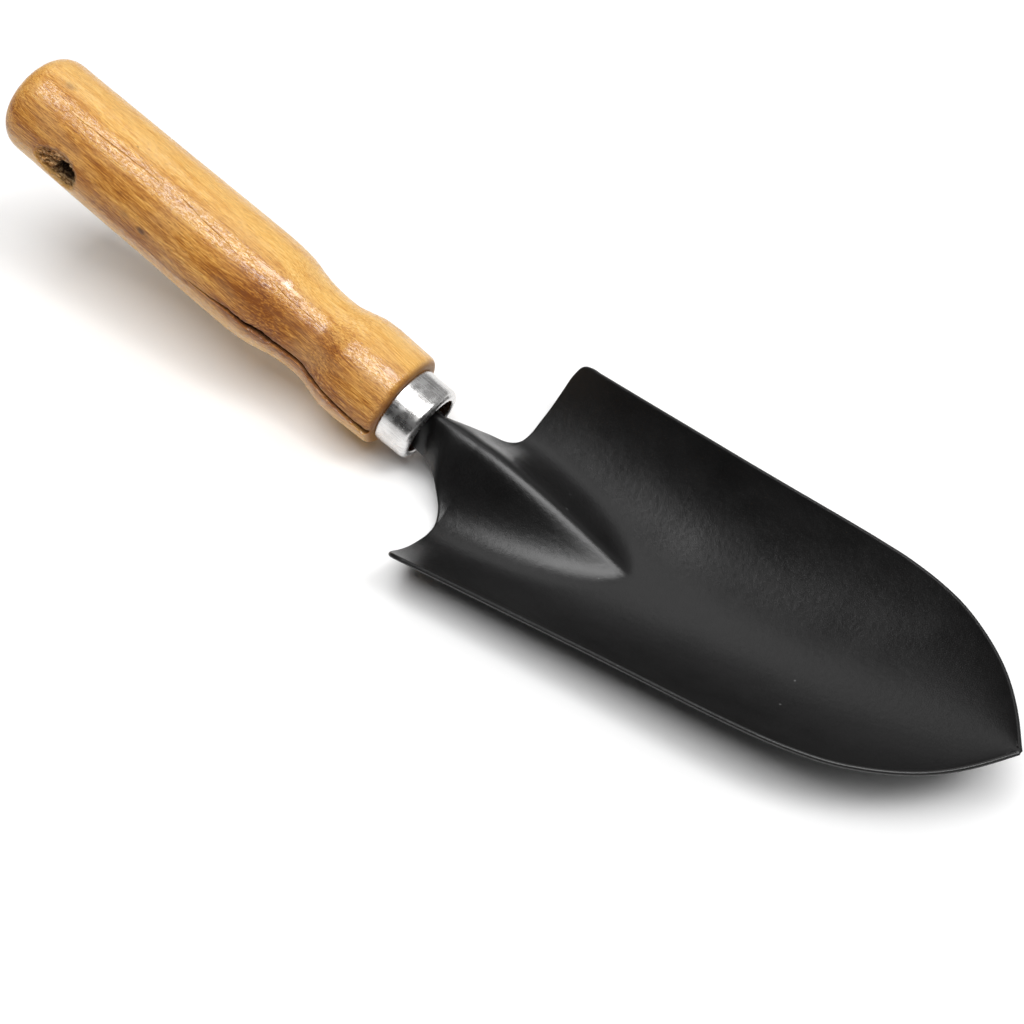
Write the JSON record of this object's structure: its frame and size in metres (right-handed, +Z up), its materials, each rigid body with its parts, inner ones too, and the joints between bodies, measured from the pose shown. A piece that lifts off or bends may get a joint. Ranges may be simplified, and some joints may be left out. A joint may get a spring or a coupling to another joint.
{
  "type": "hand trowel",
  "caption": "Hand trowel with a turned wooden handle, a rolled steel ferrule and a black coated scoop blade with a pressed rib and cranked neck.",
  "frame": {"origin": "centre of the bounding box's base, on the surface that the trowel lies on", "axes": "+X from the handle's butt to the blade's tip, +Z up out of the scoop, Y across the blade along the hang hole"},
  "size_m": [0.3076, 0.0808, 0.0663],
  "materials": {
    "varnished_wood": "satin",
    "bright_steel": "gloss",
    "black_coating": "satin"
  },
  "bodies": {
    "root": {"handle": "varnished_wood", "ferrule": "bright_steel", "blade": "black_coating"}
  },
  "joints": []
}
